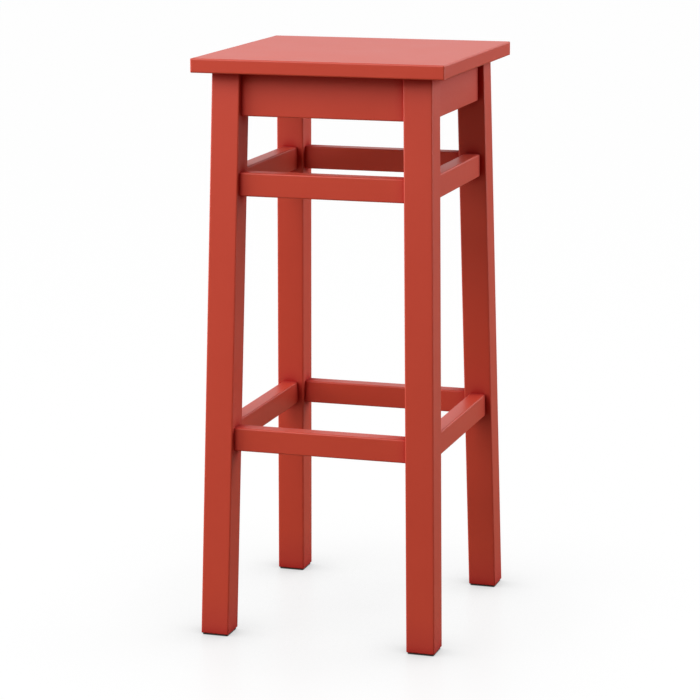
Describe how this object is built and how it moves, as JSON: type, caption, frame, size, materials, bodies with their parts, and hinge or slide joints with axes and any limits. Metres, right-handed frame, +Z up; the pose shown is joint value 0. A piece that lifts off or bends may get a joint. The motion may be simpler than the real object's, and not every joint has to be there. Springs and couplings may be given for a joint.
{
  "type": "bar stool",
  "caption": "Backless square bar stool in painted solid wood, with splayed square legs, aprons, upper rails and footrest rails dowelled between them.",
  "frame": {"origin": "on the floor, under the centre of the seat", "axes": "+Z up, -Y towards the front of the stool as pictured, +X towards its right side"},
  "size_m": [0.326, 0.3444, 0.74],
  "materials": {
    "painted_wood": "opaque satin red paint on solid wood, no grain showing",
    "bare_wood": "planed and unpainted",
    "beech": "unfinished fluted dowel",
    "zinc_steel": "bright zinc plated",
    "felt": "pressed dark felt"
  },
  "bodies": {
    "root": {"seat": "painted_wood", "leg_front_left": "painted_wood", "leg_front_right": "painted_wood", "leg_back_left": "painted_wood", "leg_back_right": "painted_wood", "apron_front": "painted_wood", "apron_back": "painted_wood", "apron_left": "painted_wood", "apron_right": "painted_wood", "upper_rail_front": "painted_wood", "upper_rail_back": "painted_wood", "upper_rail_left": "painted_wood", "upper_rail_right": "painted_wood", "footrest_front": "painted_wood", "footrest_back": "painted_wood", "footrest_left": "painted_wood", "footrest_right": "painted_wood", "corner_block_front_left": "bare_wood", "corner_block_front_right": "bare_wood", "corner_block_back_left": "bare_wood", "corner_block_back_right": "bare_wood", "apron_dowels": "beech", "upper_rail_dowels": "beech", "footrest_dowels": "beech", "seat_screws": "zinc_steel", "block_screws": "zinc_steel", "foot_pad_front_left": "felt", "foot_pad_front_right": "felt", "foot_pad_back_left": "felt", "foot_pad_back_right": "felt"}
  },
  "joints": []
}
